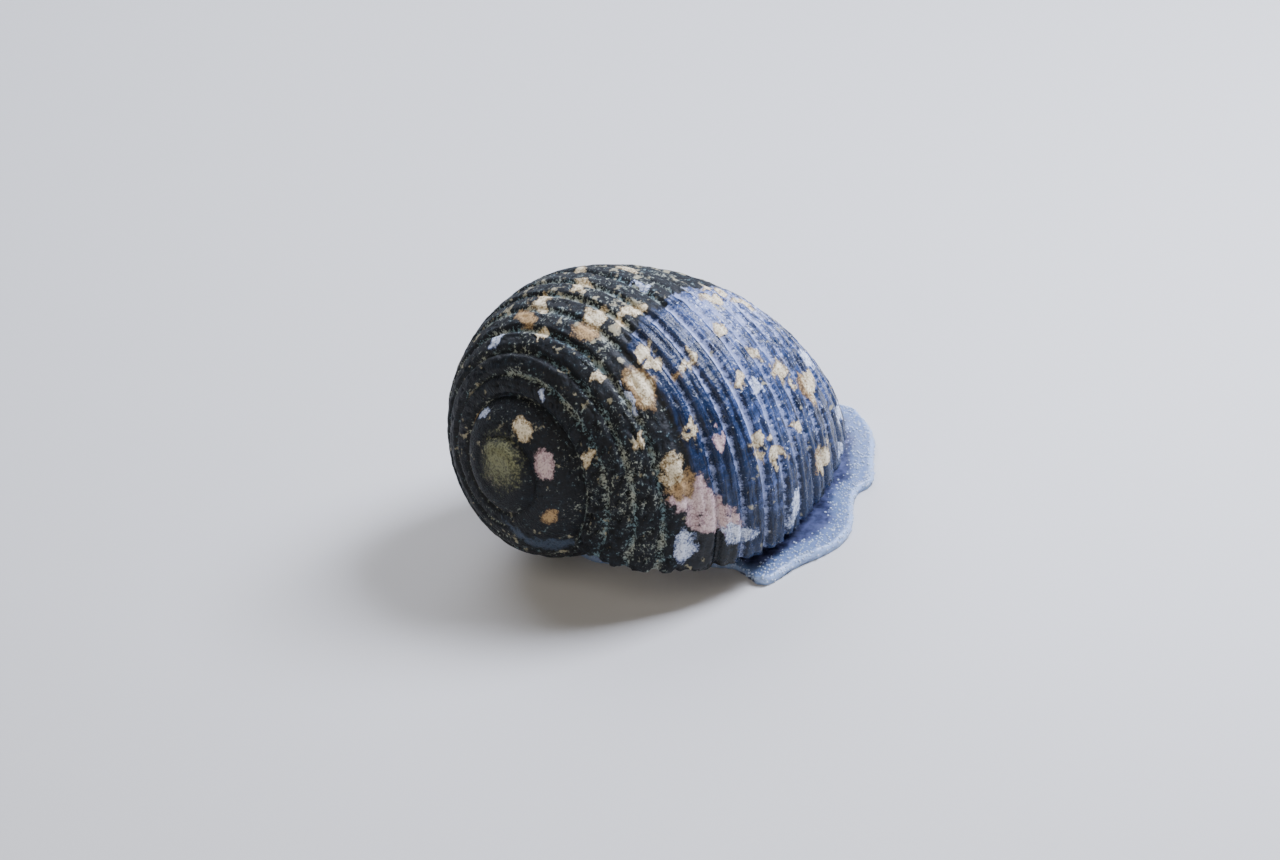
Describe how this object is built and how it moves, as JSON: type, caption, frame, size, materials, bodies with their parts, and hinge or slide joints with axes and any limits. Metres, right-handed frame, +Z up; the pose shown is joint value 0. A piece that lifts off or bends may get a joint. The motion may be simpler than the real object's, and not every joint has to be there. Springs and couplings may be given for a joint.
{
  "type": "nerite snail",
  "caption": "Life-size crawling nerite snail: a globose spirally ribbed shell held low over a broad flat foot.",
  "frame": {"origin": "on the floor, in the middle of the sole that the snail rests on", "axes": "+X is the way the snail heads, +Y is its left side, +Z is up"},
  "size_m": [0.0191, 0.0168, 0.0134],
  "materials": {
    "shell": "eroded satin black with cream and orange patches",
    "operculum": "smooth satin",
    "flesh": "moist, finely grained",
    "eye": "polished black"
  },
  "bodies": {
    "root": {"shell": "shell", "operculum": "operculum", "foot": "flesh", "tail": "flesh", "mantle": "flesh", "head": "flesh", "tentacle_left": "flesh", "tentacle_right": "flesh", "eyestalk_left": "flesh", "eyestalk_right": "flesh", "eye_left": "eye", "eye_right": "eye"}
  },
  "joints": []
}
